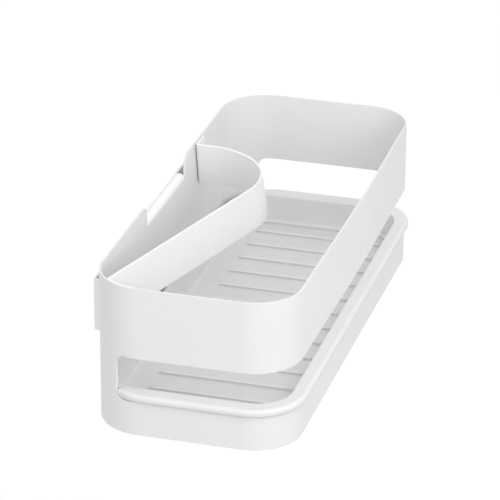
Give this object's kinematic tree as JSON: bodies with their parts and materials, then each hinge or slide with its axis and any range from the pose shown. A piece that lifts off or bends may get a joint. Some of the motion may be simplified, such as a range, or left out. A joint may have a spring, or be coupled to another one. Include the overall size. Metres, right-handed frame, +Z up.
{
  "type": "shower basket",
  "caption": "Wall-hung shower basket of bent white sheet with a wrap-round window slot, a curved strap that holds an upturned bottle, and a ribbed lift-out drip tray.",
  "frame": {"origin": "on the wall, at the middle of the back of the centre pad, which is the middle of the rail", "axes": "+X along the basket, towards the end that is farther from the bottle strap; +Y into the wall; +Z up"},
  "size_m": [0.3052, 0.1311, 0.0926],
  "materials": {
    "shell_coat": "white powder coat, satin",
    "strap_coat": "white powder coat, satin",
    "rail_coat": "white powder coat, satin",
    "tray_plastic": "white moulded plastic, soft gloss",
    "pad_foam": "grey adhesive foam, matt"
  },
  "bodies": {
    "rail": {"wall_rail": "rail_coat", "adhesive_pad_left": "pad_foam", "adhesive_pad_centre": "pad_foam", "adhesive_pad_right": "pad_foam"},
    "basket": {"basket_shell": "shell_coat", "bottle_strap": "strap_coat"},
    "tray": {"drip_tray": "tray_plastic"}
  },
  "joints": [
    {"name": "basket_lift", "type": "slide", "parent": "rail", "child": "basket", "axis": [0, 0, 1], "range_m": [0, 0.02]},
    {"name": "tray_lift", "type": "slide", "parent": "basket", "child": "tray", "axis": [0, 0, 1], "range_m": [0, 0.019]}
  ]
}
